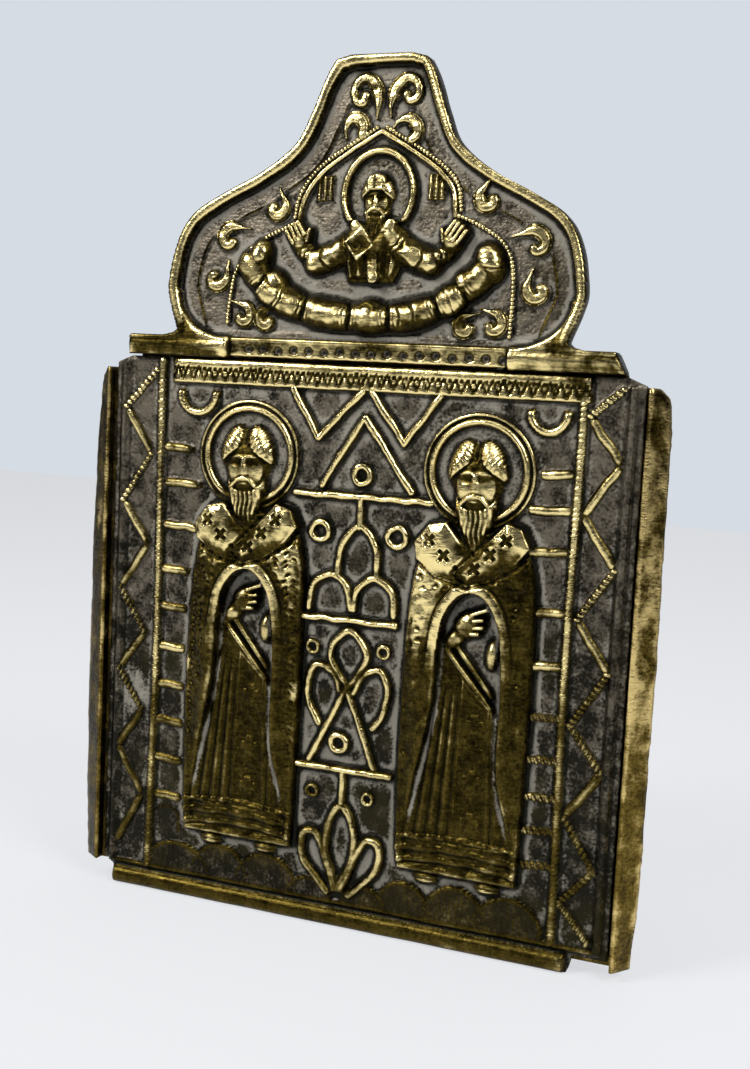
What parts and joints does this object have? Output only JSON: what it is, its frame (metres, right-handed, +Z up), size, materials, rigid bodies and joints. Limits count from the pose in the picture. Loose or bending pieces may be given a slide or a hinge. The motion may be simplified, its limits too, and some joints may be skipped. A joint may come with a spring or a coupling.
{
  "type": "folding travel icon",
  "caption": "Cast brass folding travel icon: a relief centre leaf with side strips and a domed crest, and hinged wings that fold flat behind it or swing back to prop it up.",
  "frame": {"origin": "middle of the footprint on the surface it stands on, under the centre of its bounding box with the wings swung back", "axes": "+Z up along the centre leaf, -Y out of the relief towards the viewer, +X to the viewer's right"},
  "size_m": [0.0994, 0.0456, 0.1429],
  "materials": {
    "panel_brass": "cast relief, bright worn high spots over a grey-brown patina",
    "crest_brass": "cast relief, polished rim, dark patina in the hollows",
    "strip_brass": "rubbed edge strip with an olive-brown patina",
    "wing_brass": "cast plate, olive-brown patina, worn border",
    "pin_brass": "dull drawn brass, hammered heads"
  },
  "bodies": {
    "leaf": {"centre_panel": "panel_brass", "crest": "crest_brass", "left_side_strip": "strip_brass", "right_side_strip": "strip_brass", "left_hinge_pin": "pin_brass", "right_hinge_pin": "pin_brass", "crest_rivet_left": "pin_brass", "crest_rivet_middle": "pin_brass", "crest_rivet_right": "pin_brass", "left_strip_rivet_bottom": "pin_brass", "left_strip_rivet_middle": "pin_brass", "left_strip_rivet_top": "pin_brass", "right_strip_rivet_bottom": "pin_brass", "right_strip_rivet_middle": "pin_brass", "right_strip_rivet_top": "pin_brass"},
    "left_wing": {"left_wing": "wing_brass"},
    "right_wing": {"right_wing": "wing_brass"}
  },
  "joints": [
    {"name": "left_wing_hinge", "type": "hinge", "parent": "leaf", "child": "left_wing", "pos_m": [-0.044, -0.0138, 0.044], "axis": [0, 0, 1], "range_deg": [-58, 122]},
    {"name": "right_wing_hinge", "type": "hinge", "parent": "leaf", "child": "right_wing", "pos_m": [0.044, -0.0138, 0.044], "axis": [0, 0, -1], "range_deg": [-58, 122]}
  ]
}
